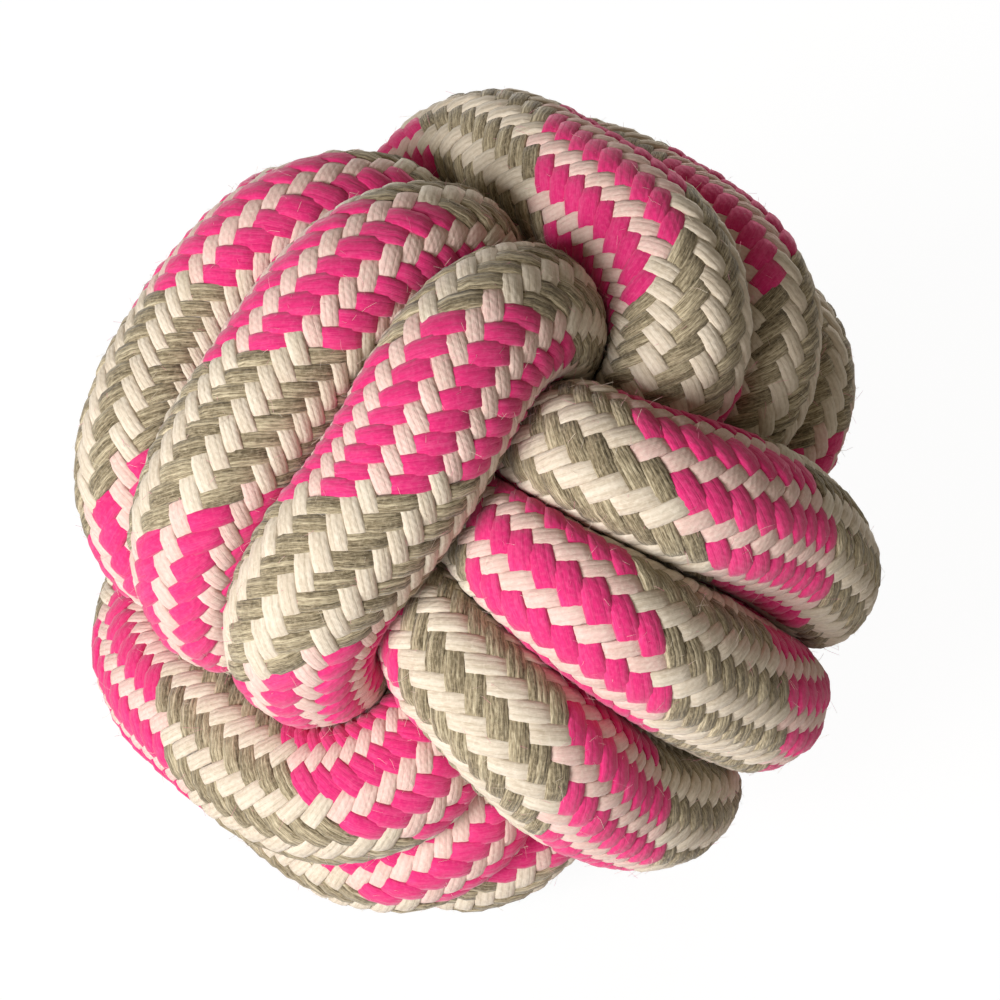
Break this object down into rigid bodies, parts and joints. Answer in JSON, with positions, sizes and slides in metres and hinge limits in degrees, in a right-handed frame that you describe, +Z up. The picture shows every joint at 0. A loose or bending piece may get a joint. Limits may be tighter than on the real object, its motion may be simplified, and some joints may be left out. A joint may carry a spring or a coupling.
{
  "type": "rope ball dog toy",
  "caption": "Chew and fetch toy for dogs: a braided cotton rope in pink, grey and cream, tied round itself into a tight ball in three crossing bands, its ends tucked inside.",
  "frame": {"origin": "centre of the bottom of the ball's box, on the surface that the ball rests on", "axes": "+Z up; -Y toward the front, which is the side that the picture shows; +X to the right seen from the front"},
  "size_m": [0.0882, 0.0882, 0.0837],
  "materials": {
    "cotton_cream": "matt braided cotton yarn, natural cream strands of the rope's cover",
    "cotton_pink": "matt braided cotton yarn, hot pink strands of the rope's cover",
    "cotton_grey": "matt braided cotton yarn, grey strands of the rope's cover",
    "filler_yarn": "matt undyed bundled cotton yarn",
    "whipping_thread": "matt undyed thread"
  },
  "bodies": {
    "root": {"rope_cover": "cotton_cream", "rope_filler": "filler_yarn", "first_end_whipping": "whipping_thread", "last_end_whipping": "whipping_thread"}
  },
  "joints": []
}
